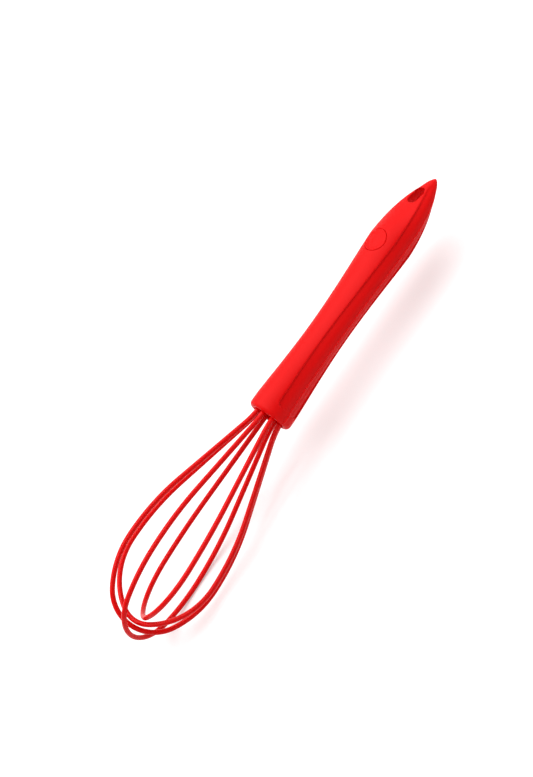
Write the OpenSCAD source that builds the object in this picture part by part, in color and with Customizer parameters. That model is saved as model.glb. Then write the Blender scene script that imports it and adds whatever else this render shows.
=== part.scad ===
// Balloon whisk: a hollow two-shell handle and four nested wire loops.
// Each loop is a steel core in a silicone sleeve, held by a plug inside the handle's mouth.
// +X runs from the hanging hole towards the loops, +Z out of the front face, +Y to the side.
// The origin is the centre of the hanging hole, on the plane where the two shells meet.

/* [Handle] */
// Length of the handle, from its pointed tip to its mouth
handle_len = 150.7; // [135:0.1:180]
// Distance of the widest place from the tip
bulge_at = 42; // [34:0.5:50]
// Width of the handle at its widest place
bulge_w = 26.6; // [24:0.1:29]
// Depth of the handle at its widest place, front to back
bulge_d = 21; // [19:0.1:24]
// Distance of the narrowest width from the tip
waist_w_at = 109; // [90:1:118]
// Width of the handle at its waist
waist_w = 21.9; // [19.6:0.1:24]
// Distance of the smallest depth from the tip
waist_d_at = 89; // [75:1:100]
// Depth of the handle at its waist
waist_d = 17.9; // [17:0.1:20]
// Outer diameter of the collar round the mouth
mouth_od = 23.8; // [23.2:0.1:27]
// Length of the straight collar at the mouth
collar_len = 6; // [4:0.5:9]
// Rounding of the mouth's outer edge
lip_round = 2.3; // [1:0.1:2.8]
// Fullness of the nose seen from the front
nose_full_w = 2.3; // [1.8:0.1:2.6]
// Fullness of the nose seen from the side
nose_full_d = 1.3; // [1.1:0.1:2.2]
// Sharpness of the nose seen from the front
nose_sharp_w = 0.7; // [0.6:0.02:0.9]
// Sharpness of the nose seen from the side
nose_sharp_d = 0.74; // [0.66:0.02:1.1]
// Flattening of both faces round the hanging hole
nose_flat = 0.5; // [0:0.05:0.7]
// Wall thickness of the shells
wall = 2.2; // [1.8:0.1:2.6]

/* [Finger flutes] */
// Depth of the recessed band along each flank
flute_depth = 0.8; // [0.3:0.05:1]
// Further hollow along the middle of the band
flute_dish = 0.2; // [0:0.05:0.3]
// Height of the band at the widest place
flute_w_bulge = 13.4; // [10:0.2:14]
// Distance from the tip at which the band starts to widen
flute_wide_from = 72; // [50:1:90]
// Height of the band at its lower end
flute_w_mouth = 15.8; // [12:0.2:17]
// Distance from the mouth to the band's lower end
flute_end = 5.9; // [5:0.1:10]
// Width of the step round the band
flute_step = 1.1; // [0.8:0.1:2]
// Corner radius of the band's lower end
flute_corner = 2.6; // [1.5:0.1:4]

/* [Hanging hole and medallion] */
// Distance of the hanging hole from the tip
hang_at = 13.6; // [12:0.2:15]
// Length of the hanging hole along the handle
hang_len = 10.6; // [8:0.1:11.4]
// Width of the hanging hole
hang_w = 6.6; // [5:0.1:7.6]
// Distance of the medallion from the tip
medal_at = 45.7; // [38:0.1:60]
// Diameter of the medallion
medal_d = 13; // [10:0.1:14]
// Thickness of the medallion at its middle
medal_thick = 2.8; // [2.4:0.1:3.4]
// Gap round the medallion
medal_gap = 0.15; // [0.1:0.05:0.3]

/* [Mouth] */
// Diameter of the mouth's opening
mouth_id = 17.3; // [17.1:0.1:17.5]
// Thickness of the lip in front of the seal
lip_thick = 2.6; // [2:0.1:3.2]
// Diameter of the plug, the seal, the filling and the anchor plate
plug_d = 17.7; // [17.6:0.1:18]
// Thickness of the seal disc
seal_thick = 1.5; // [1:0.1:2.5]
// Length of the plug
plug_len = 14; // [10:0.5:16]
// Length of the resin filling behind the plug
resin_len = 6; // [4:0.5:8]
// Thickness of the anchor plate
plate_thick = 1.5; // [1:0.1:2.5]
// Play round the pieces held in the bore
bore_play = 0.05; // [0.03:0.01:0.1]

/* [Wire loops] */
// Outer diameter of the silicone sleeve
sleeve_od = 2.7; // [2.3:0.05:2.8]
// Diameter of the steel core
core_d = 1.5; // [1.2:0.05:1.7]
// Play round a core or a sleeve
wire_play = 0.04; // [0.02:0.01:0.06]
// Diameter of the circle on which the legs stand
leg_circle = 13.3; // [13:0.1:13.5]
// Distance beyond the mouth at which the legs turn outward
bend_at = 2.5; // [2:0.1:4]
// Radius of the bend at the mouth
bend_r = 56; // [40:1:60]
// Largest width of the balloon, between wire centres
balloon_w = 52.4; // [46:0.2:60]
// Distance of the balloon's widest place from the mouth
belly_at = 87.2; // [80:0.2:95]
// Radius of the long flank, above the widest place
flank_r = 130; // [110:1:170]
// Reach of the outermost loop beyond the mouth
balloon_reach = 128; // [122:0.2:140]
// Gaps between the nested loops at the crown, inner to outer
nest_gap = [1, 0.3, 1.3]; // [0.3:0.1:3]
// Radius of each loop's crown, inner to outer
crown_r = [16, 15.6, 22, 23]; // [10:0.2:23.4]
// Direction of each loop round the handle, inner to outer
loop_turn = [27, -23, 116, 73]; // [-180:1:180]
// Lean of each loop to the side, in degrees
lean_side = [2.74, 1.2, 1.09, 1.68]; // [0:0.01:4]
// Lean of each loop to the back, in degrees
lean_back = [1.95, 1.21, 1.3, 2.56]; // [0:0.01:4]

/* [End crimps] */
// Outer diameter of an end crimp
crimp_d = 3; // [2.6:0.1:3.4]
// Length of an end crimp
crimp_len = 5; // [4:0.2:8]
// Depth of the sleeves' ends inside the plug
sleeve_depth = 11; // [8:0.5:13]

/* [Locating pegs] */
// Places of the pegs, as shares of the hollow's length
peg_share = [0.11, 0.52, 0.87]; // [0.08:0.01:0.9]
// Diameter of a peg
peg_d = 3; // [2:0.1:4]
// Length of a peg beyond the joint plane
peg_len = 3.5; // [2:0.1:4.5]
// Diameter of the post that carries a peg
post_d = 6.4; // [5:0.1:8]

/* [Hidden] */

eps = 0.01;
round_fn = 64;
sweep_fn = 180;
loops = 4;
sides = [1, -1];
band_len = 0.4;
band_grow = 0.02;
chamber_play = 0.1;
crimp_room = 2;

core_r = core_d / 2;
sleeve_r = sleeve_od / 2;
plug_r = plug_d / 2;
bore_r = plug_r + bore_play;

// Depths behind the mouth's plane
seal_front = lip_thick + bore_play;
plug_front = seal_front + seal_thick;
resin_front = plug_front + plug_len;
plate_front = resin_front + resin_len;
plate_back = plate_front + plate_thick;
bore_end = plate_back + bore_play;
crimp_front = plate_back + bore_play;
crimp_back = crimp_front + crimp_len;
crimp_floor = crimp_len / 5;
sleeve_end = plug_front + sleeve_depth;
chamber_end = crimp_back + crimp_room;
chamber_r = leg_circle / 2 + crimp_d / 2 + chamber_play;

// ---- Outline of the handle, as functions of the distance s from its tip ----

flute_stop = handle_len - flute_end;
collar_at = handle_len - collar_len;
waist_power = 1.4;
flute_full = 1.6;
flute_sharp = 0.5;
flute_share_max = 0.985;

function clamp01(t) = min(1, max(0, t));
function smooth(t) = let (c = clamp01(t)) c * c * (3 - 2 * c);
function ease(t) = 1 - pow(1 - t * t, waist_power);
function nose(s, full, sharp) = pow(1 - pow(1 - clamp01(s / bulge_at), full), sharp);

function grip(s, bulge, waist, waist_at) =
    s < waist_at ? waist + (bulge - waist) * ease((waist_at - s) / (waist_at - bulge_at))
    : waist + (mouth_od / 2 - waist) * ease(clamp01((s - waist_at) / (collar_at - waist_at)));

function half_w(s) = s < bulge_at ? bulge_w / 2 * nose(s, nose_full_w, nose_sharp_w)
    : grip(s, bulge_w / 2, waist_w / 2, waist_w_at);
function half_d(s) = s < bulge_at ? bulge_d / 2 * nose(s, nose_full_d, nose_sharp_d)
    : grip(s, bulge_d / 2, waist_d / 2, waist_d_at);

// Half height of the flute, and how far a point lies inside its rounded outline
function flute_half(s) =
    s < bulge_at
    ? min(flute_w_bulge / 2 * nose(s, flute_full, flute_sharp), flute_share_max * half_d(s))
    : flute_w_bulge / 2 + (flute_w_mouth - flute_w_bulge) / 2
      * smooth((s - flute_wide_from) / (flute_stop - flute_wide_from));
function flute_inside(s, h) =
    let (a = s - flute_stop + flute_corner, b = abs(h) - flute_half(s) + flute_corner)
    flute_corner - norm([max(a, 0), max(b, 0)]) - min(max(a, b), 0);
function recess(s, h) =
    smooth(flute_inside(s, h) / flute_step) * clamp01(s / hang_at)
    * (flute_depth + flute_dish * max(0, 1 - pow(h / flute_half(s), 2)));

// Height of the skin over the joint plane, flattened between the flutes near the nose
hang_end = hang_at + hang_len / 2;
function flattened(s, h) =
    let (flat = nose_flat * (1 - smooth((s - hang_end) / (bulge_at - hang_end))))
    h - flat * max(0, h - flute_half(s));

// Stations along the handle: distance from the tip and inset of the rounded lip
nose_rings = 14;
nose_gather = 1.6;
grip_rings = 24;
end_rings = 7;
lip_rings = 5;
end_zone = flute_corner + flute_step;
stations = concat(
    [for (i = [1:nose_rings]) [bulge_at * pow(i / nose_rings, nose_gather), 0]],
    [for (i = [1:grip_rings])
        [bulge_at + (flute_stop - end_zone - bulge_at) * i / grip_rings, 0]],
    [for (i = [1:end_rings]) [flute_stop - end_zone + end_zone * i / end_rings, 0]],
    [for (i = [0:lip_rings]) let (a = 90 * i / lip_rings)
        [handle_len - lip_round * (1 - sin(a)), lip_round * (1 - cos(a))]]);

// Angles of one half ring, gathered at the flute's step
flute_shares = [0, 0.3, 0.55, 0.72, 0.86, 1];
face_steps = 14;
function ring_angles(s) = let (e = asin(flute_half(s) / half_d(s))) concat(
    [for (t = flute_shares) t * e],
    [for (i = [1:face_steps - 1]) e + (180 - 2 * e) * i / face_steps],
    [for (i = [len(flute_shares) - 1:-1:0]) 180 - flute_shares[i] * e]);

// One point of the skin: side is 1 for the front half and -1 for the back half
function skin_point(s, inset, angle, side) =
    let (h = (half_d(s) - inset) * sin(angle), w = (half_w(s) - inset) * cos(angle))
    [s, w - sign(w) * recess(s, h), side * flattened(s, h)];

// Closed loft: an apex, then rings of equal length, then a flat end
module loft(apex, rings, flip) {
    n = len(rings[0]);
    m = len(rings);
    points = concat([apex], [for (r = rings) each r]);
    faces = concat(
        [for (j = [0:n - 1]) [0, 1 + j, 1 + (j + 1) % n]],
        [for (i = [0:m - 2], j = [0:n - 1]) let (a = 1 + i * n, k = (j + 1) % n)
            each [[a + j, a + n + j, a + k], [a + k, a + n + j, a + n + k]]],
        [[for (j = [n - 1:-1:0]) 1 + (m - 1) * n + j]]);
    polyhedron(points, flip ? [for (f = faces) [for (i = [len(f) - 1:-1:0]) f[i]]] : faces);
}

// One solid half of the handle
module half_skin(side) {
    rings = [for (st = stations)
        [for (a = ring_angles(st[0])) skin_point(st[0], st[1], a, side)]];
    loft([0, 0, 0], rings, side < 0);
}

// Hollow of the handle, an even wall inside the skin
cavity_from = hang_end + 2 * wall;
cavity_to = handle_len - chamber_end + eps;
cavity_rings = 12;
cavity_steps = 32;
module cavity() {
    rings = [for (i = [0:cavity_rings])
        let (s = cavity_from + (cavity_to - cavity_from) * i / cavity_rings,
             w = half_w(s) - wall - flute_depth - flute_dish, d = half_d(s) - wall)
        [for (j = [0:cavity_steps - 1]) let (a = 360 * (j + 0.5) / cavity_steps)
            [s, w * cos(a), d * sin(a)]]];
    loft([cavity_from - wall, 0, 0], rings, false);
}

// ---- Placement helpers ----

module from_tip() translate([-hang_at, 0, 0]) children();
module from_mouth() translate([handle_len - hang_at, 0, 0]) children();

// Cylinder along X, from depth a to depth b behind the mouth
module inner_rod(r, a, b) translate([handle_len - b, 0, 0]) rotate([0, 90, 0])
    cylinder(r = r, h = b - a, $fn = round_fn);

// ---- Cuts and posts of the shells ----

module mouth_bores() {
    inner_rod(mouth_id / 2, -eps, lip_thick + eps);
    inner_rod(bore_r, lip_thick, bore_end);
    inner_rod(chamber_r, bore_end - eps, chamber_end + eps);
}

module hanging_hole() {
    for (x = sides * (hang_len - hang_w) / 2)
        translate([hang_at + x, 0, -bulge_d / 2])
            cylinder(d = hang_w, h = bulge_d, $fn = round_fn);
    translate([hang_at - (hang_len - hang_w) / 2, -hang_w / 2, -bulge_d / 2])
        cube([hang_len - hang_w, hang_w, bulge_d]);
}

medal_floor = half_d(medal_at) - medal_thick;
module medal_pad() translate([medal_at, 0, medal_floor - wall / 2])
    cylinder(d = medal_d + 2 * wall, h = bulge_d, $fn = round_fn);
module medal_pocket() translate([medal_at, 0, medal_floor - medal_gap])
    cylinder(d = medal_d + 2 * medal_gap, h = bulge_d, $fn = round_fn);

peg_at = [for (t = peg_share) cavity_from + t * (cavity_to - cavity_from)];
module peg_posts() for (s = peg_at) translate([s, 0, -bulge_d / 2])
    cylinder(d = post_d, h = bulge_d, $fn = round_fn);
module pegs(grow) for (s = peg_at) translate([s, 0, -peg_len - grow])
    cylinder(d = peg_d + 2 * grow, h = peg_len + grow + wall, $fn = round_fn);

module shell(side) {
    difference() {
        half_skin(side);
        difference() {
            cavity();
            peg_posts();
            if (side > 0) medal_pad();
        }
        mouth_bores();
        hanging_hole();
    }
}

// ---- Wire loops ----
// A loop lies in a plane through the handle's axis. Its half is a leg, a bend, a straight
// flank, a long flank arc, a shoulder arc and half of the crown, each tangent to the next.

balloon_r = balloon_w / 2;
leg_r = leg_circle / 2;
vertex = [bend_at, leg_r];
flank_centre = [belly_at, balloon_r - flank_r];
flank_line = flank_centre - vertex;
splay = atan2(flank_line.y, flank_line.x) + asin(flank_r / norm(flank_line));
straight_end = flank_centre + flank_r * [-sin(splay), cos(splay)];
straight_len = norm(straight_end - vertex);

step = [for (g = nest_gap) sleeve_od + g];
function reach(i) = i == loops - 1 ? balloon_reach : reach(i + 1) - step[i];
function crown_centre(i) = reach(i) - crown_r[i];
function shoulder_r(i) = let (a = crown_centre(i) - belly_at)
    (a * a + balloon_r * balloon_r - crown_r[i] * crown_r[i]) / (2 * (balloon_r - crown_r[i]));
function crown_angle(i) = atan2(shoulder_r(i) - balloon_r, crown_centre(i) - belly_at);

// Turns of a loop's plane and a vector turned with it
function plane_turn(i) = [loop_turn[i], lean_back[i], lean_side[i]];
function turn_x(v, a) = [v.x, v.y * cos(a) - v.z * sin(a), v.y * sin(a) + v.z * cos(a)];
function turn_y(v, a) = [v.x * cos(a) + v.z * sin(a), v.y, v.z * cos(a) - v.x * sin(a)];
function turn_z(v, a) = [v.x * cos(a) - v.y * sin(a), v.x * sin(a) + v.y * cos(a), v.z];
function turned(v, t) = turn_z(turn_y(turn_x(v, t.x), t.y), t.z);

// Where a leg turns, the way its flank goes from there, and the angle between the two
function leg_point(i, side) = turned([vertex.x, side * vertex.y, 0], plane_turn(i));
function flank_way(i, side) = turned([cos(splay), side * sin(splay), 0], plane_turn(i));
function bend_angle(i, side) = acos(flank_way(i, side).x);
function bend_plane(i, side) = let (d = flank_way(i, side)) atan2(d.z, d.y);
function bend_run(i, side) = bend_r * tan(bend_angle(i, side) / 2);

// Round rod of radius r along X
module rod(r, length) rotate([0, 90, 0]) cylinder(r = r, h = length, $fn = round_fn / 2);

// Piece of a ring in the XY plane, from one angle through a sweep
module arc(r, ring_r, from, sweep) rotate([0, 0, from])
    rotate_extrude(angle = sweep, $fn = sweep_fn) translate([ring_r, 0])
        circle(r = r, $fn = round_fn / 2);

// Thin band round a wire that runs along X: it closes the seam between two pieces of the wire
module band(r) translate([-band_len / 2, 0, 0]) rod(r + band_grow, band_len);
module arc_band(r, ring_r, at) rotate([0, 0, at]) translate([ring_r, 0, 0])
    rotate([0, 0, 90]) band(r);

// Leg from a depth behind the mouth, with its bend
module leg(i, side, r, depth) {
    p = leg_point(i, side);
    run = bend_run(i, side);
    translate([-depth, p.y, p.z]) rod(r, p.x - run + depth);
    translate([p.x - run, p.y, p.z]) band(r);
    translate(p) rotate([bend_plane(i, side), 0, 0]) translate([-run, bend_r, 0])
        arc(r, bend_r, -90, bend_angle(i, side));
}

module straight_flank(i, side, r) {
    run = bend_run(i, side);
    translate(leg_point(i, side)) rotate([bend_plane(i, side), 0, 0])
        rotate([0, 0, bend_angle(i, side)]) translate([run, 0, 0]) {
            band(r);
            rod(r, straight_len - run);
        }
}

module crown(i, r) {
    g = crown_angle(i);
    for (m = [0, 1]) mirror([0, m, 0]) {
        translate(flank_centre) {
            arc(r, flank_r, 90, splay);
            arc_band(r, flank_r, 90 + splay);
            arc_band(r, flank_r, 90);
        }
        translate([belly_at, balloon_r - shoulder_r(i), 0]) {
            arc(r, shoulder_r(i), g, 90 - g);
            arc_band(r, shoulder_r(i), g);
        }
    }
    translate([crown_centre(i), 0, 0]) arc(r, crown_r[i], -g, 2 * g);
}

module wire(i, r, depth) {
    for (side = sides) {
        leg(i, side, r, depth);
        straight_flank(i, side, r);
    }
    rotate(plane_turn(i)) crown(i, r);
}

module all_legs(r, depth) for (i = [0:loops - 1], side = sides) leg(i, side, r, depth);

// ---- Sub-parts ----

module front_shell() color("crimson") from_tip() union() {
    difference() {
        shell(1);
        medal_pocket();
    }
    pegs(0);
}

module back_shell() color("crimson") from_tip() difference() {
    shell(-1);
    pegs(bore_play);
}

module medallion() color("red") from_tip() intersection() {
    half_skin(1);
    translate([medal_at, 0, medal_floor]) cylinder(d = medal_d, h = bulge_d, $fn = round_fn);
}

module seal_disc() color("darkred") difference() {
    from_tip() inner_rod(plug_r, seal_front, plug_front);
    from_mouth() all_legs(sleeve_r + wire_play, crimp_back);
}

module wire_plug() color("firebrick") difference() {
    from_tip() inner_rod(plug_r, plug_front, resin_front);
    from_mouth() {
        all_legs(sleeve_r + wire_play, sleeve_end);
        all_legs(core_r + wire_play, crimp_back);
    }
}

module resin_filling() color("wheat") difference() {
    from_tip() inner_rod(plug_r, resin_front, plate_front);
    from_mouth() all_legs(core_r + wire_play, crimp_back);
}

module anchor_plate() color("silver") difference() {
    from_tip() inner_rod(plug_r, plate_front, plate_back);
    from_mouth() all_legs(core_r + wire_play, crimp_back);
}

module end_crimps() color("gray") from_mouth() for (i = [0:loops - 1], side = sides) {
    p = leg_point(i, side);
    translate([-crimp_back, p.y, p.z]) difference() {
        rod(crimp_d / 2, crimp_len);
        translate([crimp_floor, 0, 0]) rod(core_r + wire_play, crimp_len);
    }
}

module wire_core(i) color("silver") from_mouth()
    wire(i, core_r, crimp_back - crimp_floor - wire_play);

module wire_sleeve(i) color("red") from_mouth() difference() {
    wire(i, sleeve_r, sleeve_end);
    wire(i, core_r + wire_play, crimp_back);
}

front_shell();
back_shell();
medallion();
seal_disc();
wire_plug();
resin_filling();
anchor_plate();
end_crimps();
wire_core(0);  // wire_core_1
wire_core(1);  // wire_core_2
wire_core(2);  // wire_core_3
wire_core(3);  // wire_core_4
wire_sleeve(0);  // wire_sleeve_1
wire_sleeve(1);  // wire_sleeve_2
wire_sleeve(2);  // wire_sleeve_3
wire_sleeve(3);  // wire_sleeve_4
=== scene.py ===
"""Looks of a balloon whisk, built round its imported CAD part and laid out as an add-on."""

import math

import bmesh
import bpy
from bpy.props import (
    FloatProperty, FloatVectorProperty, IntProperty, PointerProperty,
)
from bpy.types import Operator, Panel, PropertyGroup
from mathutils import Matrix, Vector


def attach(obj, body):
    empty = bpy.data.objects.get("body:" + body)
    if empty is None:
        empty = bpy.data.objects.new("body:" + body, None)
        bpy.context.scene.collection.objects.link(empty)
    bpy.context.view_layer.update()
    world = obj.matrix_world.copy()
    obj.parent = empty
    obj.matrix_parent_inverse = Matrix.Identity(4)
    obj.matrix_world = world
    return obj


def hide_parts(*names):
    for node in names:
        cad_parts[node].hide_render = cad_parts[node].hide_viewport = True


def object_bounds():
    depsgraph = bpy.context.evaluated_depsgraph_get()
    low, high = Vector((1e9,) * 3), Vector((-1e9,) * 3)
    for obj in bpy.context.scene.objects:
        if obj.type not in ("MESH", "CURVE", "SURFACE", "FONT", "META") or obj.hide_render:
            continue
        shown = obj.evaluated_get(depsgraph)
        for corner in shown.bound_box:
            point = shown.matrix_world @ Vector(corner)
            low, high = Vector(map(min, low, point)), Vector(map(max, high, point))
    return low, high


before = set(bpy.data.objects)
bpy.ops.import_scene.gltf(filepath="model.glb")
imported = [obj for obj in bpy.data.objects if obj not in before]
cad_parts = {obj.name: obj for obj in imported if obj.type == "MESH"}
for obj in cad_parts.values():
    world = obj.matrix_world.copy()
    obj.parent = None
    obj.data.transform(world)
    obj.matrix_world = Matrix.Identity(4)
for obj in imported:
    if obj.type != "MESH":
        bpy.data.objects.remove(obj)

bl_info = {
    "name": "Balloon Whisk",
    "version": (1, 0, 0),
    "blender": (4, 5, 0),
    "location": "3D View > Sidebar > Whisk",
    "description": "Builds a balloon whisk with a two-shell handle and sleeved wire loops",
    "category": "Object",
}

MM = 0.001
BODY = "root"
CAD_BOX = [list(corner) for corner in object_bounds()]


# ---------------- settings


def size_of(name, description, millimetres):
    """A length property with its default in millimetres."""
    return FloatProperty(
        name=name, description=description, default=millimetres * MM,
        min=0.0, unit="LENGTH", precision=5,
    )


def sizes_of(name, description, millimetres):
    """One length for each loop or gap, inner to outer."""
    return FloatVectorProperty(
        name=name, description=description, size=len(millimetres),
        default=[value * MM for value in millimetres], unit="LENGTH", precision=5,
    )


def angle_of(name, description, degrees):
    """An angle property with its default in degrees."""
    return FloatProperty(
        name=name, description=description, default=math.radians(degrees), unit="ROTATION")


def angles_of(name, description, degrees):
    """One angle for each loop, inner to outer."""
    return FloatVectorProperty(
        name=name, description=description, size=len(degrees),
        default=[math.radians(value) for value in degrees], unit="ROTATION",
    )


def colour_of(name, description, red, green, blue):
    """A colour property."""
    return FloatVectorProperty(
        name=name, description=description, size=3, subtype="COLOR",
        default=(red, green, blue), min=0.0, max=1.0,
    )


def share_of(name, description, value, high=1.0):
    """A plain number from 0 to a limit."""
    return FloatProperty(
        name=name, description=description, default=value, min=0.0, max=high,
        subtype="FACTOR" if high == 1.0 else "NONE", precision=3,
    )


class WhiskHandleSize(PropertyGroup):
    """Sizes of the handle's two shells and of what sits in them."""

    length: size_of("Length", "From the pointed tip to the mouth", 150.7)
    bulge_at: size_of("Bulge at", "Distance of the widest place from the tip", 42)
    bulge_width: size_of("Bulge width", "Width at the widest place", 26.6)
    bulge_depth: size_of("Bulge depth", "Depth at the widest place", 21)
    waist_width_at: size_of("Waist width at", "Narrowest width's distance from the tip", 109)
    waist_width: size_of("Waist width", "Width at the waist", 21.9)
    waist_depth_at: size_of("Waist depth at", "Smallest depth's distance from the tip", 89)
    waist_depth: size_of("Waist depth", "Depth at the waist", 17.9)
    mouth_diameter: size_of("Mouth diameter", "Outer diameter of the collar", 23.8)
    collar_length: size_of("Collar length", "Length of the straight collar", 6)
    lip_rounding: size_of("Lip rounding", "Rounding of the mouth's outer edge", 2.3)
    lip_inner_rounding: size_of("Inner lip rounding", "Rounding of the mouth's inner edge", 0.5)
    nose_full_width: share_of("Nose fullness, front", "Fullness seen from the front", 2.3, 4.0)
    nose_full_depth: share_of("Nose fullness, side", "Fullness seen from the side", 1.3, 4.0)
    nose_sharp_width: share_of("Nose sharpness, front", "Sharpness seen from the front", 0.7, 2.0)
    nose_sharp_depth: share_of("Nose sharpness, side", "Sharpness seen from the side", 0.74, 2.0)
    nose_flat: share_of("Nose flattening", "Flattening of the faces round the hole", 0.5)
    waist_power: share_of("Waist curve", "How quickly the waist opens", 1.4, 3.0)
    flute_full: share_of("Flute fullness", "How full the band opens at the nose", 1.6, 2.0)
    flute_sharp: share_of("Flute sharpness", "How quickly the band opens at the nose", 0.5, 2.0)
    flute_share_max: share_of("Flute limit", "Largest share of the depth it takes", 0.985)
    wall: size_of("Wall", "Wall thickness", 2.2)
    flute_depth: size_of("Flute depth", "Depth of the band along each flank", 0.8)
    flute_dish: size_of("Flute dish", "Further hollow below the band's upper step", 0.45)
    flute_at_bulge: size_of("Flute at bulge", "Height of the band at the widest place", 13.4)
    flute_wide_from: size_of("Flute widens from", "Where the band starts to widen", 72)
    flute_at_mouth: size_of("Flute at mouth", "Height of the band at its lower end", 15.8)
    flute_end: size_of("Flute end", "Distance from the mouth to the band's end", 5.9)
    flute_step: size_of("Flute step", "Width of the step round the band", 1.1)
    flute_fade: size_of("Flute fade", "Distance from the tip at which it is full depth", 7)
    flute_corner: size_of("Flute corner", "Corner radius of the band's end", 2.6)
    joint_front: size_of("Front joint edge", "Rounding of the front shell at the joint", 0.03)
    joint_back: size_of("Back joint edge", "Rounding of the back shell at the joint", 0.45)
    joint_ledge: size_of("Joint ledge", "How far the back shell stands out at the joint", 0.6)
    joint_fade: size_of("Joint fade", "Height over which that ledge runs out", 1.3)
    hang_at: size_of("Hole at", "Distance of the hanging hole from the tip", 13.6)
    hang_length: size_of("Hole length", "Length of the hanging hole", 10.6)
    hang_width: size_of("Hole width", "Width of the hanging hole", 6.6)
    hang_rim: size_of("Hole rim", "Rounding of the hanging hole's rim", 0.7)
    medal_at: size_of("Medallion at", "Distance of the medallion from the tip", 45.7)
    medal_diameter: size_of("Medallion diameter", "Diameter of the medallion", 13)
    medal_thickness: size_of("Medallion thickness", "Thickness at its middle", 2.8)
    medal_gap: size_of("Medallion gap", "Gap round the medallion", 0.15)
    medal_rim: size_of("Medallion rim", "Rounding on both sides of the gap", 0.36)
    medal_dish: size_of("Medallion dish", "Hollow of the medallion's face", 0.4)
    mouth_bore: size_of("Mouth opening", "Diameter of the mouth's opening", 17.3)
    seat_bore: size_of("Seat", "Diameter of the bore that holds the plug", 17.8)
    lip_depth: size_of("Lip depth", "Thickness of the lip in front of the seal", 2.6)
    seat_depth: size_of("Seat depth", "Depth at which the plug's bore ends", 25.7)
    chamber_bore: size_of("Chamber", "Diameter of the chamber round the crimps", 16.5)
    chamber_depth: size_of("Chamber depth", "Depth at which the chamber ends", 32.7)


class WhiskLoopSize(PropertyGroup):
    """Sizes of the wire loops, inner to outer."""

    sleeve_diameter: size_of("Sleeve diameter", "Outer diameter of the sleeve", 2.7)
    sleeve_sides: IntProperty(
        name="Sleeve sides", description="Faces round a sleeve", default=28, min=8, max=64)
    sleeve_depth: size_of("Sleeve depth", "Depth of a sleeve's end behind the mouth", 15.15)
    leg_circle: size_of("Leg circle", "Circle on which the legs stand", 13.3)
    bend_at: size_of("Bend at", "Where the legs turn outward, beyond the mouth", 2.5)
    bend_radius: size_of("Bend radius", "Radius of the bend at the mouth", 56)
    balloon_width: size_of("Balloon width", "Largest width between wire centres", 52.4)
    belly_at: size_of("Belly at", "Widest place, beyond the mouth", 87.2)
    flank_radius: size_of("Flank radius", "Radius of the long flank", 130)
    reach: size_of("Reach", "Reach of the outermost loop beyond the mouth", 128)
    nest_gaps: sizes_of("Nest gaps", "Gaps between the crowns", (1, 0.3, 1.3))
    crown_radii: sizes_of("Crown radii", "Radius of each crown", (16, 15.6, 22, 23))
    turns: angles_of("Turns", "Direction round the handle", (27, -23, 116, 73))
    leans_side: angles_of("Side leans", "Lean to the side", (2.74, 1.2, 1.09, 1.68))
    leans_back: angles_of("Back leans", "Lean to the back", (1.95, 1.21, 1.3, 2.56))


class WhiskFinish(PropertyGroup):
    """Colours and gloss of the whisk."""

    shell: colour_of("Shells", "Colour of the two shells", 0.82, 0.002, 0.002)
    medallion: colour_of("Medallion", "Colour of the medallion", 0.82, 0.001, 0.001)
    sleeve: colour_of("Sleeves", "Colour of the silicone sleeves", 0.8, 0.001, 0.001)
    seal: colour_of("Seal", "Colour of the seal disc", 0.45, 0.004, 0.005)
    plug: colour_of("Plug", "Colour of the plug", 0.5, 0.02, 0.02)
    resin: colour_of("Resin", "Colour of the resin filling", 0.78, 0.66, 0.42)
    steel: colour_of("Steel", "Colour of the wires and the plate", 0.66, 0.67, 0.69)
    aluminium: colour_of("Aluminium", "Colour of the end crimps", 0.72, 0.73, 0.74)
    shell_roughness: share_of("Shell roughness", "Roughness of the shells", 0.5)
    sleeve_roughness: share_of("Sleeve roughness", "Roughness of the sleeves", 0.24)
    shell_specular: share_of("Shell gloss", "Specular level of the shells", 0.12)
    sleeve_specular: share_of("Sleeve gloss", "Specular level of the sleeves", 0.12)


class WhiskStage(PropertyGroup):
    """Camera, floor and light."""

    distance: size_of("Camera distance", "From the mouth to the camera", 1000)
    scale: size_of("Picture scale", "Size of one picture point at the mouth", 0.5025)
    tilt: angle_of("Camera tilt", "Lean of the view towards the loops", 7.78)
    roll: angle_of("Camera roll", "Turn of the view round the handle", 50)
    floor: colour_of("Floor", "Colour of the floor", 0.76, 0.76, 0.76)
    floor_glow: share_of("Floor glow", "What the lit floor lacks to white", 0.38)
    world: share_of("World", "Strength of the light from all round", 0.25)
    key_strength: share_of("Key strength", "Strength of the overhead light", 3.2, 10.0)
    key_spread: angle_of("Key spread", "Width of the overhead light, which softens shadows", 80)
    key_lean: angle_of("Key lean", "Lean of the overhead light away from the camera", 13)


# ---------------- materials


WHITE = (1.0, 1.0, 1.0, 1.0)
BLACK = (0.0, 0.0, 0.0, 1.0)

# Moulded pieces: clouds and flow lines in the colour, worn gloss, and a skin of two scales.
CLOUD_SIZE = 14 * MM
CLOUD_SHARE = 0.7
CLOUD_TONES = (0.95, 1.05)
FLOW_SIZE = 4 * MM
FLOW_STRETCH = (0.25, 1.0, 1.0)
GLOSS_SIZE = 6 * MM
GLOSS_RANGE = 0.1
PEEL_SIZE = 1.6 * MM
PEEL_GRAINS = 1.5
SKIN_SIZE = 0.35 * MM
SKIN_GRAINS = 0.5

# Drawn metal.
LINE_SIZE = 0.3 * MM
LINE_SHARE = 0.6
LINE_RELIEF = 0.01 * MM
LINE_GLOSS_RANGE = 0.14
TINT_SIZE = 5 * MM
METAL_TONES = (0.85, 1.08)

# Cast resin.
RESIN_TONES = (0.8, 1.1)
BUBBLE_SPACING = 1.3 * MM
BUBBLE_SHARE = 0.22
BUBBLE_RELIEF = 0.05 * MM


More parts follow.
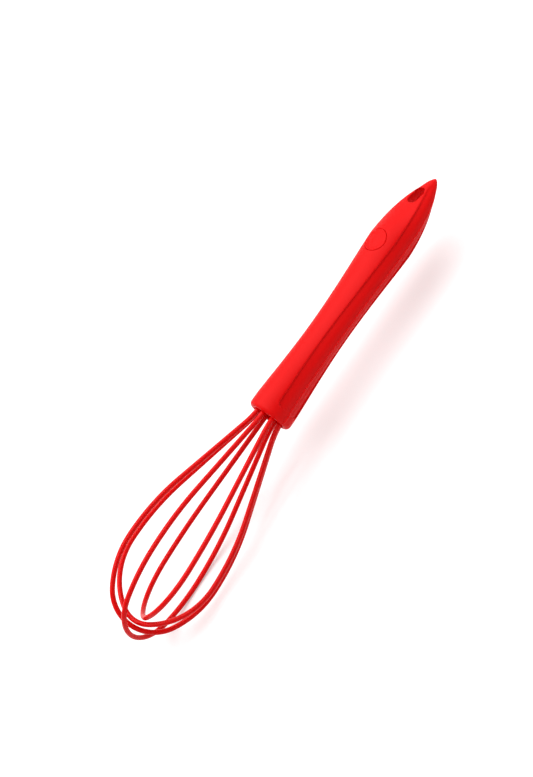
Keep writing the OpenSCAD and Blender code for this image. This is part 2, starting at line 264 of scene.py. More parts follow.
class Number:
    """One number socket of a shader. Sums, 1 - x and products add Math nodes."""

    def __init__(self, shader, socket):
        self.shader = shader
        self.socket = socket

    def maths(self, operation, first, second):
        node = self.shader.node("Math", {"operation": operation}, {0: first, 1: second})
        return Number(self.shader, node.outputs[0])

    def __add__(self, other):
        return self.maths("ADD", self, other)

    def __radd__(self, other):
        return self.maths("ADD", other, self)

    def __rsub__(self, other):
        return self.maths("SUBTRACT", other, self)

    def __mul__(self, other):
        return self.maths("MULTIPLY", self, other)

    def __rmul__(self, other):
        return self.maths("MULTIPLY", other, self)


class Shader:
    """The nodes of one material, or of the world."""

    PLAIN = (1.0, 1.0, 1.0)

    def __init__(self, name, world=False):
        self.material = (bpy.data.worlds if world else bpy.data.materials).new(name)
        self.material.use_nodes = True
        self.tree = self.material.node_tree
        self.tree.nodes.clear()
        self.output = self.node("OutputWorld" if world else "OutputMaterial")

    def node(self, kind, settings=None, sockets=None):
        """Adds a node, sets its settings first and then its sockets."""
        node = self.tree.nodes.new("ShaderNode" + kind)
        for key, value in (settings or {}).items():
            if key == "stops":
                self.set_stops(node.color_ramp, value)
            else:
                setattr(node, key, value)
        for key, value in (sockets or {}).items():
            self.feed(node.inputs[key], value)
        return node

    @staticmethod
    def set_stops(ramp, stops):
        while len(ramp.elements) < len(stops):
            ramp.elements.new(1.0)
        for element, (place, colour) in zip(ramp.elements, stops):
            element.position = place
            element.color = colour

    def feed(self, socket, value):
        if isinstance(value, Number):
            value = value.socket
        if isinstance(value, bpy.types.NodeSocket):
            self.tree.links.new(value, socket)
        else:
            socket.default_value = value

    def place(self, stretch=PLAIN):
        """Object coordinates in metres, stretched along the axes."""
        coordinates = self.node("TexCoord").outputs["Object"]
        return self.node("Mapping", {}, {"Vector": coordinates, "Scale": stretch}).outputs[0]

    def noise(self, size, detail=2.0, roughness=0.5, stretch=PLAIN):
        """Noise from 0 to 1 whose blots are about one size wide, in metres."""
        node = self.node("TexNoise", {"noise_dimensions": "3D"}, {
            "Vector": self.place(stretch), "Scale": 1.0 / size,
            "Detail": detail, "Roughness": roughness})
        return Number(self, node.outputs["Fac"])

    def tones(self, mask, colour, factors):
        """Mix of two tones of a colour, by a mask from 0 to 1."""
        first, second = (tone(colour, factor) for factor in factors)
        node = self.node("Mix", {"data_type": "RGBA"}, {0: mask, 6: first, 7: second})
        return node.outputs[2]

    def bump(self, height, distance, under=None):
        """Normal of a skin whose height runs over a distance, over another skin if given."""
        sockets = {"Height": height, "Distance": distance, "Strength": 1.0}
        if under is not None:
            sockets["Normal"] = under
        return self.node("Bump", {}, sockets).outputs[0]

    def surface(self, **values):
        """Principled surface, with every constant set on the socket itself."""
        sockets = {key.replace("_", " ").title().replace("Ior", "IOR"): value
                   for key, value in values.items()}
        node = self.node("BsdfPrincipled", {}, sockets)
        self.feed(self.output.inputs["Surface"], node.outputs[0])
        return self.material


def tone(colour, factor):
    """A colour made lighter or darker, with full alpha."""
    return tuple(min(1.0, channel * factor) for channel in colour) + (1.0,)


def moulded(name, colour, roughness, specular, grain):
    """Moulded plastic, rubber or silicone: faint clouding, uneven gloss and a fine skin."""
    shader = Shader(name)
    clouds = shader.noise(CLOUD_SIZE, 3.0)
    flow = shader.noise(FLOW_SIZE, stretch=FLOW_STRETCH)
    mask = clouds * CLOUD_SHARE + flow * (1 - CLOUD_SHARE)
    base = shader.tones(mask, colour, CLOUD_TONES)
    gloss = roughness - GLOSS_RANGE / 2 + GLOSS_RANGE * shader.noise(GLOSS_SIZE, 4.0, 0.6)
    peel = shader.bump(shader.noise(PEEL_SIZE, 1.0), grain * PEEL_GRAINS)
    skin = shader.bump(shader.noise(SKIN_SIZE), grain * SKIN_GRAINS, under=peel)
    return shader.surface(
        base_color=base, roughness=gloss, specular_ior_level=specular, normal=skin)


def drawn_metal(name, colour, roughness, stretch):
    """Bright metal with fine lines along the way it was drawn or brushed."""
    shader = Shader(name)
    lines = shader.noise(LINE_SIZE, 3.0, stretch=stretch)
    mask = lines * LINE_SHARE + shader.noise(TINT_SIZE) * (1 - LINE_SHARE)
    base = shader.tones(mask, colour, METAL_TONES)
    gloss = roughness - LINE_GLOSS_RANGE / 2 + LINE_GLOSS_RANGE * lines
    return shader.surface(
        base_color=base, metallic=1.0, roughness=gloss, normal=shader.bump(lines, LINE_RELIEF))


def cast_resin(colour):
    """Amber casting resin with clouds and small bubbles."""
    shader = Shader("resin")
    clouds = shader.noise(TINT_SIZE, 4.0)
    cells = shader.node("TexVoronoi", {"feature": "F1"}, {
        "Vector": shader.place(), "Scale": 1.0 / BUBBLE_SPACING}).outputs["Distance"]
    dots = shader.node("ValToRGB", {"stops": ((0.0, WHITE), (BUBBLE_SHARE, BLACK))},
                       {"Fac": cells})
    mask = Number(shader, dots.outputs[0])
    base = shader.tones(clouds, colour, RESIN_TONES)
    return shader.surface(
        base_color=base, roughness=0.25 + 0.2 * mask, specular_ior_level=0.5,
        normal=shader.bump(1 - mask, BUBBLE_RELIEF))


def dress(piece, material):
    """Gives a piece its one material."""
    piece.data.materials.clear()
    piece.data.materials.append(material)


# ---------------- meshes


def add_object(name, data):
    """A new object in the scene."""
    thing = bpy.data.objects.new(name, data)
    bpy.context.scene.collection.objects.link(thing)
    return thing


def new_piece(name, points, faces, material, replaced, sharp=35.0, fill_plane=False):
    """Makes a closed smooth mesh, and lets it ride and stand for a CAD node."""
    mesh = bpy.data.meshes.new(name)
    mesh.from_pydata([tuple(point) for point in points], [], faces)
    work = bmesh.new()
    work.from_mesh(mesh)
    if fill_plane:
        border = [edge for edge in work.edges if edge.is_boundary]
        bmesh.ops.triangle_fill(work, use_beauty=True, edges=border)
    bmesh.ops.recalc_face_normals(work, faces=work.faces)
    for face in work.faces:
        face.smooth = True
    work.to_mesh(mesh)
    work.free()
    mesh.set_sharp_from_angle(angle=math.radians(sharp))
    finish_piece(add_object(name, mesh), material, replaced)


def finish_piece(piece, material, replaced):
    """Material, body and the CAD node that a piece stands for."""
    dress(piece, material)
    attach(piece, BODY)
    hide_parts(replaced)


def between(first, second, share):
    """The value at a share of the way from one to another."""
    return first + (second - first) * share


def clamp01(value):
    """The value, held between 0 and 1."""
    return min(1.0, max(0.0, value))


def smooth(value):
    """Soft step from 0 to 1."""
    held = clamp01(value)
    return held * held * (3 - 2 * held)


class HandleShape:
    """Outline of the handle, as functions of the distance s from its tip."""

    # Columns of points up the flute, closer together towards its step.
    FLUTE_SHARES = (0.1, 0.22, 0.34, 0.46, 0.57, 0.66, 0.73, 0.78, 0.82, 0.85,
                    0.88, 0.91, 0.94, 0.97, 1.0)
    # The highest value that share ** 4 * (1 - share ** 2) takes.
    DISH_PEAK = 4 / 27
    FACE_STEPS = 30
    JOINT_STEPS = 3
    NOSE_RINGS = 64
    # Power that draws the nose's rings together at the tip.
    NOSE_GATHER = 1.6
    GRIP_RINGS = 92
    END_RINGS = 36
    COLLAR_RINGS = 6
    LIP_RINGS = 10
    HOLLOW_RINGS = 10

    def __init__(self, size):
        self.size = size
        self.collar_at = size.length - size.collar_length
        self.flute_stop = size.length - size.flute_end
        self.hang_end = size.hang_at + size.hang_length / 2
        self.hollow_from = self.hang_end + 2 * size.wall
        self.hollow_to = size.length - size.chamber_depth
        self.medal_floor = self.half_depth(size.medal_at) - size.medal_thickness

    def ease(self, share):
        """Curve that leaves the waist flat and reaches the bulge or the collar."""
        return 1 - (1 - share * share) ** self.size.waist_power

    def nose(self, s, fullness, sharpness):
        """Share of the bulge that the nose has reached."""
        return (1 - (1 - s / self.size.bulge_at) ** fullness) ** sharpness

    def outline(self, s, bulge, waist, waist_at, fullness, sharpness):
        """Half the width or the depth at a distance from the tip."""
        size = self.size
        if s < size.bulge_at:
            return bulge * self.nose(s, fullness, sharpness)
        if s < waist_at:
            return between(waist, bulge, self.ease((waist_at - s) / (waist_at - size.bulge_at)))
        rise = clamp01((s - waist_at) / (self.collar_at - waist_at))
        return between(waist, size.mouth_diameter / 2, self.ease(rise))

    def half_width(self, s):
        size = self.size
        return self.outline(s, size.bulge_width / 2, size.waist_width / 2, size.waist_width_at,
                            size.nose_full_width, size.nose_sharp_width)

    def half_depth(self, s):
        size = self.size
        return self.outline(s, size.bulge_depth / 2, size.waist_depth / 2, size.waist_depth_at,
                            size.nose_full_depth, size.nose_sharp_depth)

    def flute_half(self, s):
        """Half the height of the flute."""
        size = self.size
        start, end = size.flute_at_bulge / 2, size.flute_at_mouth / 2
        if s < size.bulge_at:
            return min(start * self.nose(s, size.flute_full, size.flute_sharp),
                       size.flute_share_max * self.half_depth(s))
        return between(start, end, smooth(
            (s - size.flute_wide_from) / (self.flute_stop - size.flute_wide_from)))

    def recess(self, s, height):
        """Depth of the flute below the skin."""
        size = self.size
        along = s - self.flute_stop + size.flute_corner
        across = abs(height) - self.flute_half(s) + size.flute_corner
        inside = (size.flute_corner - math.hypot(max(along, 0), max(across, 0))
                  - min(max(along, across), 0))
        share = clamp01(abs(height) / self.flute_half(s))
        dish = share ** 4 * (1 - share ** 2) / self.DISH_PEAK
        return (smooth(inside / size.flute_step) * clamp01(s / size.flute_fade)
                * (size.flute_depth + size.flute_dish * dish))

    def flattened(self, s, height):
        """Height of the skin, flattened between the flutes near the nose."""
        rest = smooth((s - self.hang_end) / (self.size.bulge_at - self.hang_end))
        flat = self.size.nose_flat * (1 - rest)
        return height - flat * max(0.0, height - self.flute_half(s))

    def face_height(self, s, y):
        """Height of the skin over the joint plane, clear of the flutes."""
        full = self.half_depth(s) * math.sqrt(max(0.0, 1 - (y / self.half_width(s)) ** 2))
        return self.flattened(s, full)

    def angles(self, s):
        """Angles of the skin columns of a half ring, gathered at the flute's step."""
        edge = math.asin(self.flute_half(s) / self.half_depth(s))
        low = [share * edge for share in self.FLUTE_SHARES]
        face = [between(edge, math.pi - edge, step / self.FACE_STEPS)
                for step in range(1, self.FACE_STEPS)]
        return low + face + [math.pi - angle for angle in reversed(low)]

    def skin_stations(self):
        """Stations along the skin: distance, half width, half depth and lean of the normal."""
        size = self.size
        end_from = self.flute_stop - size.flute_corner - size.flute_step
        collar_end = size.length - size.lip_rounding
        places = [size.bulge_at * (ring / self.NOSE_RINGS) ** self.NOSE_GATHER
                  for ring in range(1, self.NOSE_RINGS + 1)]
        for start, end, rings in ((size.bulge_at, end_from, self.GRIP_RINGS),
                                  (end_from, self.flute_stop, self.END_RINGS),
                                  (self.flute_stop, collar_end, self.COLLAR_RINGS)):
            places += [between(start, end, (ring + 1) / rings) for ring in range(rings)]
        stations = [(s, self.half_width(s), self.half_depth(s), 0.0) for s in places]
        mouth = size.mouth_diameter / 2
        for ring in range(1, self.LIP_RINGS + 1):
            lean = math.pi / 2 * ring / self.LIP_RINGS
            radius = mouth - size.lip_rounding * (1 - math.cos(lean))
            stations.append((collar_end + size.lip_rounding * math.sin(lean),
                             radius, radius, lean))
        inner, bore = size.lip_inner_rounding, size.mouth_bore / 2
        for ring in range(self.LIP_RINGS + 1):
            lean = math.pi / 2 * (1 + ring / self.LIP_RINGS)
            radius = bore + inner * (1 + math.cos(lean))
            stations.append((size.length - inner + inner * math.sin(lean),
                             radius, radius, lean))
        return stations

    def hollow_stations(self):
        """Stations of the bores and the hollow, from the mouth inwards."""
        size = self.size
        steps = ((size.lip_depth, size.mouth_bore), (size.lip_depth, size.seat_bore),
                 (size.seat_depth, size.seat_bore), (size.seat_depth, size.chamber_bore),
                 (size.chamber_depth, size.chamber_bore))
        stations = [(size.length - depth, bore / 2, bore / 2, None) for depth, bore in steps]
        for ring in range(self.HOLLOW_RINGS + 1):
            s = between(self.hollow_to, self.hollow_from, ring / self.HOLLOW_RINGS)
            stations.append((
                s, self.half_width(s) - size.wall - size.flute_depth - size.flute_dish,
                self.half_depth(s) - size.wall, None))
        return stations

    def joint_edge(self, radius):
        """Rounded edge at the joint plane: how far in and how high each point lies."""
        turns = [math.pi / 2 * step / self.JOINT_STEPS for step in range(self.JOINT_STEPS + 1)]
        return [(radius * (1 - math.sin(turn)), radius * (1 - math.cos(turn)))
                for turn in turns]

    def ring(self, station, joint, ledge):
        """One half ring, from one joint edge over the skin to the other."""
        s, wide, deep, lean = station
        if lean is None:
            heights = [joint * step / self.JOINT_STEPS for step in range(self.JOINT_STEPS + 1)]
            edge = [(s, wide * math.cos(math.asin(height / deep)), height)
                    for height in heights]
            skin = [(s, wide * math.cos(angle), deep * math.sin(angle))
                    for angle in self.angles(self.size.length)]
        else:
            fade = clamp01(s / self.size.hang_at)
            radius = joint * fade
            stand = ledge * fade * max(0.0, math.cos(lean))

            def out(height):
                sunk = self.recess(s, height) if lean == 0 else 0.0
                return stand * (1 - smooth(height / self.size.joint_fade)) - sunk

            side = wide * math.cos(math.asin(radius / deep)) + out(radius)
            edge = [(s - inset * math.sin(lean), side - inset * math.cos(lean), height)
                    for inset, height in self.joint_edge(radius)]
            skin = []
            for angle in self.angles(s):
                height, y = deep * math.sin(angle), wide * math.cos(angle)
                skin.append((s, y + math.copysign(1, y) * out(height), self.flattened(s, height)))
        return edge + skin + [(x, -y, z) for x, y, z in reversed(edge)]


class ShellMesh:
    """Points and faces of one shell: a grid of half rings with holes patched into it."""

    # Rings that blend the grid into a hole, round its rim and run down its wall.
    BLEND_RINGS = 9
    RIM_RINGS = 6
    WALL_SHARES = (0.34, 0.67, 1.0)

    # Room that a patch takes along the handle, and columns that it leaves at the flute.
    HOLE_ROOM = (2.6 * MM, 3.2 * MM)
    HOLE_MARGIN = 1
    POCKET_ROOM = 2 * MM
    POCKET_MARGIN = 5

    def __init__(self, shape, side, joint, ledge):
        self.shape, self.side, self.joint = shape, side, joint
        self.stations = shape.skin_stations()
        rings = [shape.ring(station, joint, ledge)
                 for station in self.stations + shape.hollow_stations()]
        self.columns = len(rings[0])
        self.rows = len(rings)
        self.points = [(0.0, 0.0, 0.0)] + [point for ring in rings for point in ring]
        self.points.append((shape.hollow_from - shape.size.wall, 0.0, 0.0))
        self.faces = []
        self.blocks = []

    def at(self, row, column):
        """Number of a point of the grid."""
        return 1 + row * self.columns + column

    def block(self, start, end, margin):
        """Rows and columns round a hole, as a loop of point numbers."""
        inside = [row for row, station in enumerate(self.stations)
                  if start < station[0] < end and station[3] == 0.0]
        first = self.shape.JOINT_STEPS + len(self.shape.FLUTE_SHARES) + margin
        top, bottom, left, right = inside[0], inside[-1], first, self.columns - 1 - first
        self.blocks.append((top, bottom, left, right))
        return ([self.at(top, column) for column in range(left, right)]
                + [self.at(row, right) for row in range(top, bottom)]
                + [self.at(bottom, column) for column in range(right, left, -1)]
                + [self.at(row, left) for row in range(bottom, top, -1)])

    def run(self, last, rings):
        """Bands of faces from a loop of point numbers over new rings, up to the last ring."""
        for ring in rings:
            first = len(self.points)
            self.points += ring
            fresh = list(range(first, first + len(ring)))
            for place in range(len(last)):
                after = (place + 1) % len(last)
                self.faces.append((last[place], last[after], fresh[after], fresh[place]))
            last = fresh
        return last

    def sink(self, loop, centre, contour, rim, floor):
        """Closes the skin on a hole's rounded rim and runs its wall down to a floor."""
        shape = self.shape
        ways = [math.atan2(self.points[point][1], self.points[point][0] - centre)
                for point in loop]
        start = [self.points[point] for point in loop]

        def rim_points(offset, height_of):
            points = []
            for way in ways:
                reach = contour(way, offset)
                x, y = centre + reach * math.cos(way), reach * math.sin(way)
                points.append((x, y, height_of(x, y)))
            return points

        edge = rim_points(rim, shape.face_height)
        loops = []
        for step in range(1, self.BLEND_RINGS + 1):
            share = step / self.BLEND_RINGS
            ring = []
            for (x0, y0, _), (x1, y1, _) in zip(start, edge):
                x, y = between(x0, x1, share), between(y0, y1, share)
                ring.append((x, y, shape.face_height(x, y)))
            loops.append(ring)
        for step in range(1, self.RIM_RINGS + 1):
            turn = math.pi / 2 * step / self.RIM_RINGS
            drop = rim * (1 - math.cos(turn))
            loops.append(rim_points(
                rim * (1 - math.sin(turn)), lambda x, y: shape.face_height(x, y) - drop))
        top = loops[-1]
        for share in self.WALL_SHARES:
            loops.append([(x, y, between(z, floor, share)) for x, y, z in top])
        return self.run(loop, loops), rim_points

    def drill(self, centre, length, width, rim):
        """Hanging hole, from the skin to the joint plane."""
        straight = (length - width) / 2

        def contour(way, offset):
            radius = width / 2 + offset
            run = abs(math.cos(way))
            if radius * run <= straight * abs(math.sin(way)):
                return radius / abs(math.sin(way))
            rise = straight * math.sin(way)
            return straight * run + math.sqrt(radius * radius - rise * rise)

        before, after = self.HOLE_ROOM
        loop = self.block(centre - length / 2 - before, centre + length / 2 + after,
                          self.HOLE_MARGIN)
        last, rim_points = self.sink(loop, centre, contour, rim, self.joint)
        edge = reversed(self.shape.joint_edge(self.joint)[:-1])
        self.run(last, [rim_points(inset, lambda x, y: height) for inset, height in edge])

    def pocket(self, centre, radius, rim, floor):
        """Round pocket with a flat floor."""
        reach = radius + self.POCKET_ROOM
        loop = self.block(centre - reach, centre + reach, self.POCKET_MARGIN)
        last, _ = self.sink(loop, centre, lambda way, offset: radius + offset, rim, floor)
        self.points.append((centre, 0.0, floor))
        middle = len(self.points) - 1
        for place, point in enumerate(last):
            self.faces.append((point, last[(place + 1) % len(last)], middle))

    def close(self):
        """Faces of the grid, without those under the patches, and both ends."""
        for row in range(self.rows - 1):
            for column in range(self.columns - 1):
                if any(top <= row < bottom and left <= column < right
                       for top, bottom, left, right in self.blocks):
                    continue
                self.faces.append((self.at(row, column), self.at(row, column + 1),
                                   self.at(row + 1, column + 1), self.at(row + 1, column)))
        end = self.at(self.rows - 1, self.columns - 1) + 1
        for column in range(self.columns - 1):
            self.faces.append((0, self.at(0, column + 1), self.at(0, column)))
            self.faces.append((end, self.at(self.rows - 1, column),
                               self.at(self.rows - 1, column + 1)))

    def placed(self):
        """Points in the frame, whose origin is the hanging hole."""
        shift = self.shape.size.hang_at
        return [(x - shift, y, self.side * z) for x, y, z in self.points]


def drop_unused(points, faces):
    """Leaves out the points that no face uses."""
    used = sorted({point for face in faces for point in face})
    place = {old: new for new, old in enumerate(used)}
    return [points[old] for old in used], [tuple(place[p] for p in face) for face in faces]


class WHISK_OT_shells(Operator):
    """Builds the front and the back shell of the handle"""

    bl_idname = "whisk.shells"
    bl_label = "Build shells"

    def execute(self, context):
        size, finish = context.scene.whisk_handle, context.scene.whisk_finish
        shape = HandleShape(size)
        plastic = moulded("shell_plastic", finish.shell, finish.shell_roughness,
                          finish.shell_specular, grain=0.004 * MM)
        for node, side, joint, ledge in (
                ("front_shell", 1, size.joint_front, 0.0),
                ("back_shell", -1, size.joint_back, size.joint_ledge)):
            shell = ShellMesh(shape, side, joint, ledge)
            shell.drill(size.hang_at, size.hang_length, size.hang_width, size.hang_rim)
            if side > 0:
                shell.pocket(size.medal_at, size.medal_diameter / 2 + size.medal_gap,
                             size.medal_rim, shape.medal_floor - size.medal_gap)
            shell.close()
            points, faces = drop_unused(shell.placed(), shell.faces)
            new_piece(node + "_skin", points, faces, plastic, node,
                      fill_plane=True)
        return {"FINISHED"}


class WHISK_OT_medallion(Operator):
    """Builds the plain medallion in the front shell"""

    bl_idname = "whisk.medallion"
    bl_label = "Build medallion"

    SEGMENTS = 96
    FACE_RINGS = 24
    RIM_RINGS = 5
    # Shares of the radius: where the hollow starts, and how wide its slope is.
    DISH_START = 0.93
    DISH_SLOPE = 0.2

    def execute(self, context):
        size, finish = context.scene.whisk_handle, context.scene.whisk_finish
        shape = HandleShape(size)
        radius, rim = size.medal_diameter / 2, size.medal_rim

        def spot(reach, way):
            return size.medal_at + reach * math.cos(way), reach * math.sin(way)

        def face_height(reach, way):
            depth = (radius * self.DISH_START - reach) / (radius * self.DISH_SLOPE)
            return shape.face_height(*spot(reach, way)) - size.medal_dish * smooth(depth)

        rings = [(radius - rim) * (ring + 1) / self.FACE_RINGS for ring in range(self.FACE_RINGS)]
        profile = [(reach, 0.0) for reach in rings]
        for ring in range(1, self.RIM_RINGS + 1):
            turn = math.pi / 2 * ring / self.RIM_RINGS
            profile.append((radius - rim + rim * math.sin(turn), rim * (1 - math.cos(turn))))
        count = self.SEGMENTS
        ways = [math.tau * place / count for place in range(count)]
        points = [(size.medal_at, 0.0, face_height(0.0, 0.0))]
        for reach, drop in profile:
            points += [(*spot(reach, way), face_height(reach, way) - drop) for way in ways]
        points += [(*spot(radius, way), shape.medal_floor) for way in ways]
        last = len(points) - count
        around = [(place, (place + 1) % count) for place in range(count)]
        faces = [(0, 1 + place, 1 + after) for place, after in around]
        for first in range(1, last, count):
            faces += [(first + place, first + count + place, first + count + after,
                       first + after) for place, after in around]
        faces.append(tuple(range(last + count - 1, last - 1, -1)))
        points = [(x - size.hang_at, y, z) for x, y, z in points]
        plastic = moulded("medallion_plastic", finish.medallion, finish.shell_roughness,
                          finish.shell_specular, grain=0.006 * MM)
        new_piece("medallion_face", points, faces, plastic, "medallion",
                  sharp=50.0)
        return {"FINISHED"}


class LoopPath:
    """Centre line of one loop, in the frame, from one end to the other."""

    BEND_STEPS = 10
    FLANK_STEPS = 40
    SHOULDER_STEPS = 28
    CROWN_STEPS = 18

    def __init__(self, size, number, mouth):
        self.size = size
        self.mouth = mouth
        self.half_width = size.balloon_width / 2
        self.crown = size.crown_radii[number]
        beyond = sum(size.sleeve_diameter + gap for gap in list(size.nest_gaps)[number:])
        self.crown_centre = size.reach - beyond - self.crown
        self.turn = (Matrix.Rotation(size.leans_side[number], 3, "Z")
                     @ Matrix.Rotation(size.leans_back[number], 3, "Y")
                     @ Matrix.Rotation(size.turns[number], 3, "X"))
        line = Vector((size.belly_at - size.bend_at,
                       self.half_width - size.flank_radius - size.leg_circle / 2))
        self.splay = math.atan2(line.y, line.x) + math.asin(size.flank_radius / line.length)

    def half_profile(self):
        """Long flank, shoulder and half the crown, in the loop's own plane."""
        size = self.size
        flank_centre = (size.belly_at, self.half_width - size.flank_radius)
        run = self.crown_centre - size.belly_at
        shoulder = ((run * run + self.half_width ** 2 - self.crown ** 2)
                    / (2 * (self.half_width - self.crown)))
        edge = math.atan2(shoulder - self.half_width, run)
        shoulder_centre = (size.belly_at, self.half_width - shoulder)
        crown_centre = (self.crown_centre, 0.0)
        quarter = math.pi / 2
        parts = ((flank_centre, size.flank_radius, quarter + self.splay, quarter,
                  self.FLANK_STEPS),
                 (shoulder_centre, shoulder, quarter, edge, self.SHOULDER_STEPS),
                 (crown_centre, self.crown, edge, 0.0, self.CROWN_STEPS))
        points = []
        for (x, y), radius, start, end, steps in parts:
            for step in range(1 if points else 0, steps + 1):
                angle = between(start, end, step / steps)
                points.append((x + radius * math.cos(angle), y + radius * math.sin(angle)))
        return points

    def leg(self, side):
        """End of the leg and its bend, up to the straight flank."""
        size = self.size
        corner = self.turn @ Vector((size.bend_at, side * size.leg_circle / 2, 0.0))
        way = self.turn @ Vector((math.cos(self.splay), side * math.sin(self.splay), 0.0))
        bend = math.acos(way.x)
        out = Vector((0.0, way.y, way.z)).normalized()
        run = size.bend_radius * math.tan(bend / 2)
        start = corner - Vector((run, 0.0, 0.0))
        points = [Vector((between(-size.sleeve_depth, start.x, share), start.y, start.z))
                  for share in (0.0, 0.5)]
        for step in range(self.BEND_STEPS + 1):
            angle = bend * step / self.BEND_STEPS
            points.append(start + size.bend_radius * (
                math.sin(angle) * Vector((1.0, 0.0, 0.0)) + (1 - math.cos(angle)) * out))
        return points

    def points(self):
        """The whole loop, moved from the mouth to its place in the frame."""
        half = self.half_profile()
        near = [self.turn @ Vector((x, y, 0.0)) for x, y in half]
        far = [self.turn @ Vector((x, -y, 0.0)) for x, y in reversed(half[:-1])]
        whole = self.leg(1) + near + far + list(reversed(self.leg(-1)))
        return [Vector((point.x + self.mouth, point.y, point.z)) for point in whole]


def sleeve_nodes():
    """Geometry Nodes tree that turns a line into a smooth round sleeve, and its inputs' keys."""
    tree = bpy.data.node_groups.new("sleeve_along_line", "GeometryNodeTree")

    def socket(name, kind, way="INPUT"):
        return tree.interface.new_socket(
            name=name, in_out=way, socket_type="NodeSocket" + kind).identifier

    socket("Line", "Geometry")
    keys = socket("Radius", "Float"), socket("Sides", "Int"), socket("Material", "Material")
    socket("Sleeve", "Geometry", "OUTPUT")
    add = tree.nodes.new
    start, end = add("NodeGroupInput"), add("NodeGroupOutput")
    curve, circle, tube = (add("GeometryNodeMeshToCurve"),
                           add("GeometryNodeCurvePrimitiveCircle"),
                           add("GeometryNodeCurveToMesh"))
    shade, real, paint = (add("GeometryNodeSetShadeSmooth"), add("GeometryNodeRealizeInstances"),
                          add("GeometryNodeSetMaterial"))
    tube.inputs["Fill Caps"].default_value = True
    for source, target in (
            (start.outputs["Line"], curve.inputs["Mesh"]),
            (start.outputs["Radius"], circle.inputs["Radius"]),
            (start.outputs["Sides"], circle.inputs["Resolution"]),
            (curve.outputs["Curve"], tube.inputs["Curve"]),
            (circle.outputs["Curve"], tube.inputs["Profile Curve"]),
            (tube.outputs["Mesh"], shade.inputs["Geometry"]),
            (shade.outputs["Geometry"], real.inputs["Geometry"]),
            (real.outputs["Geometry"], paint.inputs["Geometry"]),
            (start.outputs["Material"], paint.inputs["Material"]),
            (paint.outputs["Geometry"], end.inputs["Sleeve"])):
        tree.links.new(source, target)
    return tree, keys


class WHISK_OT_loops(Operator):
    """Builds the silicone sleeves of the wire loops"""

    bl_idname = "whisk.loops"
    bl_label = "Build loops"

    def execute(self, context):
        size, finish = context.scene.whisk_loops, context.scene.whisk_finish
        handle = context.scene.whisk_handle
        silicone = moulded("sleeve_silicone", finish.sleeve, finish.sleeve_roughness,
                           finish.sleeve_specular, grain=0.003 * MM)
        tree, keys = sleeve_nodes()
        for number in range(len(size.crown_radii)):
            path = LoopPath(size, number, handle.length - handle.hang_at).points()
            line = bpy.data.meshes.new("line")
            line.from_pydata(path, [(place, place + 1) for place in range(len(path) - 1)], [])
            guide = add_object("guide", line)
            modifier = guide.modifiers.new("sleeve", "NODES")
            modifier.node_group = tree
            for key, value in zip(keys, (size.sleeve_diameter / 2, size.sleeve_sides, silicone)):
                modifier[key] = value
            evaluated = guide.evaluated_get(context.evaluated_depsgraph_get())
            mesh = bpy.data.meshes.new_from_object(evaluated)
            guide.modifiers.remove(modifier)
            bpy.data.objects.remove(guide)
            name = "loop_sleeve_%d" % (number + 1)
            mesh.name = name
            finish_piece(add_object(name, mesh), silicone,
                         "wire_sleeve_%d" % (number + 1))
        return {"FINISHED"}


class WHISK_OT_inner(Operator):
    """Gives the pieces inside the handle their finish"""

    bl_idname = "whisk.inner"
    bl_label = "Finish inner pieces"

    def execute(self, context):
        finish = context.scene.whisk_finish
        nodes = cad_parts
        dress(nodes["seal_disc"], moulded(
            "seal_rubber", finish.seal, roughness=0.6, specular=0.3, grain=0.01 * MM))
        dress(nodes["wire_plug"], moulded(
            "plug_plastic", finish.plug, roughness=0.5, specular=0.4, grain=0.01 * MM))
        dress(nodes["resin_filling"], cast_resin(finish.resin))
        dress(nodes["anchor_plate"], drawn_metal(
            "plate_steel", finish.steel, roughness=0.35, stretch=(1.0, 0.1, 1.0)))
        dress(nodes["end_crimps"], drawn_metal(
            "crimp_aluminium", finish.aluminium, roughness=0.3, stretch=(0.3, 1.0, 1.0)))
        wire = drawn_metal(
            "wire_steel", finish.steel, roughness=0.28, stretch=(0.1, 1.0, 1.0))
        for name in nodes:
            if name.startswith("wire_core_"):
                dress(nodes[name], wire)
        return {"FINISHED"}


# ---------------- stage


# Width and height of the picture, in points.
PICTURE = (533, 777)
# The camera's sensor in millimetres, and its near and far limits in metres.
SENSOR = 36.0
CLIP = (0.05, 50.0)
# Direction of the picture's rows, as shares of across and along the handle.
ROW_WAY = (0.8216, -0.57)
# Points from the picture's middle to the mouth's centre, across and along the handle.
MOUTH_IN_PICTURE = (18.04, 22.85)
# Small turn of the handle in the picture, in radians.
TWIST = -0.007


def background_rays(shader):
    """1 for the rays that show the background, and 0 for the rays that light the whisk."""
    path = shader.node("LightPath")
    seen, mirrored, through = (
        Number(shader, path.outputs[name])
        for name in ("Is Camera Ray", "Is Glossy Ray", "Is Transmission Ray"))
    return seen + mirrored + through


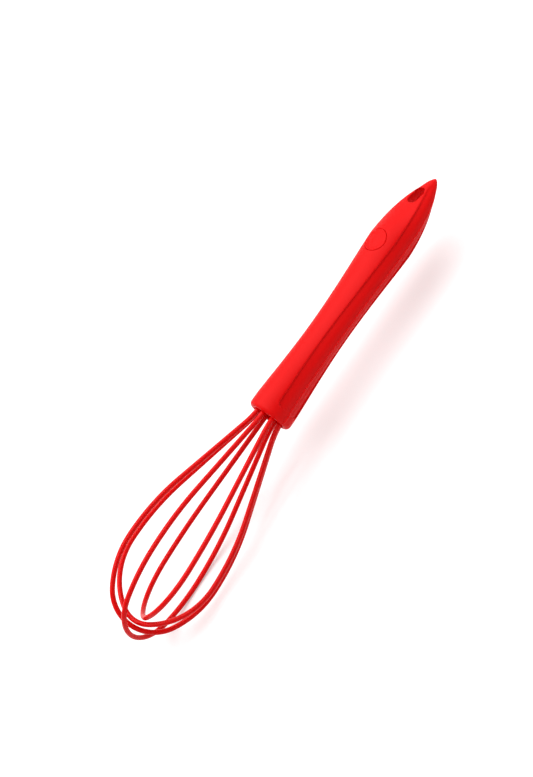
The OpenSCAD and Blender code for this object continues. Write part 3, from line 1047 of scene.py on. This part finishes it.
class WHISK_OT_stage(Operator):
    """Sets up the camera, the floor, the world and the lamp"""

    bl_idname = "whisk.stage"
    bl_label = "Build stage"

    FLOOR_HALF = 6.0
    FLOOR_GAP = 0.2 * MM
    PAPER_SIZE = 0.4
    PAPER_TONES = (0.99, 1.01)

    def execute(self, context):
        stage = context.scene.whisk_stage
        handle = context.scene.whisk_handle
        self.place_camera(context, stage, handle.length - handle.hang_at)
        self.lay_floor(stage)
        self.light_world(context, stage)
        self.hang_lamp(stage)
        context.scene.view_settings.view_transform = "Standard"
        return {"FINISHED"}

    @staticmethod
    def place_camera(context, stage, mouth):
        across = Vector((0.0, math.cos(stage.roll), -math.sin(stage.roll)))
        out = Vector((0.0, math.sin(stage.roll), math.cos(stage.roll)))
        along = Vector((math.cos(stage.tilt), 0.0, 0.0)) - math.sin(stage.tilt) * out
        towards = Vector((math.sin(stage.tilt), 0.0, 0.0)) + math.cos(stage.tilt) * out
        first, second = across + TWIST * along, along - TWIST * across
        shift = stage.scale * (MOUTH_IN_PICTURE[0] * first + MOUTH_IN_PICTURE[1] * second)
        right = (ROW_WAY[0] * first + ROW_WAY[1] * second).normalized()
        up = towards.cross(right).normalized()
        data = bpy.data.cameras.new("camera")
        data.sensor_width = SENSOR
        data.lens = SENSOR * stage.distance / stage.scale / max(PICTURE)
        data.clip_start, data.clip_end = CLIP
        camera = add_object("camera", data)
        spot = Vector((mouth, 0.0, 0.0)) - shift + stage.distance * towards
        camera.matrix_world = Matrix.Translation(spot) @ Matrix(
            (right, up, towards)).transposed().to_4x4()
        context.scene.camera = camera

    def lay_floor(self, stage):
        height, half = CAD_BOX[0][2] - self.FLOOR_GAP, self.FLOOR_HALF
        mesh = bpy.data.meshes.new("floor")
        corners = ((-half, -half), (half, -half), (half, half), (-half, half))
        mesh.from_pydata([(x, y, height) for x, y in corners], [], [(0, 1, 2, 3)])
        floor = add_object("floor", mesh)
        shader = Shader("floor_board")
        paper = shader.noise(self.PAPER_SIZE, 3.0)
        base = shader.tones(paper, stage.floor, self.PAPER_TONES)
        board = shader.node("BsdfDiffuse", {}, {"Color": base})
        glow = shader.node("Emission", {}, {
            "Color": WHITE, "Strength": stage.floor_glow * background_rays(shader)})
        both = shader.node("AddShader", {}, {0: board.outputs[0], 1: glow.outputs[0]})
        shader.feed(shader.output.inputs["Surface"], both.outputs[0])
        dress(floor, shader.material)

    @staticmethod
    def light_world(context, stage):
        shader = Shader("studio", world=True)
        lift = (1 - stage.world) * background_rays(shader)
        sky = shader.node("Background", {}, {"Color": WHITE, "Strength": stage.world + lift})
        shader.feed(shader.output.inputs["Surface"], sky.outputs[0])
        context.scene.world = shader.material

    @staticmethod
    def hang_lamp(stage):
        data = bpy.data.lights.new("key", "SUN")
        data.energy, data.angle = stage.key_strength, stage.key_spread
        add_object("key", data).rotation_euler = (stage.key_lean, 0.0, 0.0)


# ---------------- add-on


BUILD_STEPS = (WHISK_OT_shells, WHISK_OT_medallion, WHISK_OT_loops, WHISK_OT_inner,
               WHISK_OT_stage)
SETTINGS = (("whisk_handle", WhiskHandleSize, "Handle"), ("whisk_loops", WhiskLoopSize, "Loops"),
            ("whisk_finish", WhiskFinish, "Finish"), ("whisk_stage", WhiskStage, "Stage"))


class WHISK_PT_panel(Panel):
    """Sizes, colours and build steps of the whisk"""

    bl_idname = "WHISK_PT_panel"
    bl_label = "Balloon Whisk"
    bl_space_type = "VIEW_3D"
    bl_region_type = "UI"
    bl_category = "Whisk"

    def draw(self, context):
        for name, group, title in SETTINGS:
            box = self.layout.box()
            box.label(text=title)
            for key in group.__annotations__:
                box.prop(getattr(context.scene, name), key)
        for step in BUILD_STEPS:
            self.layout.operator(step.bl_idname)


CLASSES = tuple(group for _, group, _ in SETTINGS) + BUILD_STEPS + (WHISK_PT_panel,)


def register():
    for cls in CLASSES:
        bpy.utils.register_class(cls)
    for name, group, _ in SETTINGS:
        setattr(bpy.types.Scene, name, PointerProperty(type=group))


def unregister():
    for name, _, _ in SETTINGS:
        delattr(bpy.types.Scene, name)
    for cls in reversed(CLASSES):
        bpy.utils.unregister_class(cls)


def main():
    """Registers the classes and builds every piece."""
    register()
    bpy.ops.whisk.shells()
    bpy.ops.whisk.medallion()
    bpy.ops.whisk.loops()
    bpy.ops.whisk.inner()
    bpy.ops.whisk.stage()


if __name__ == "__main__":
    main()
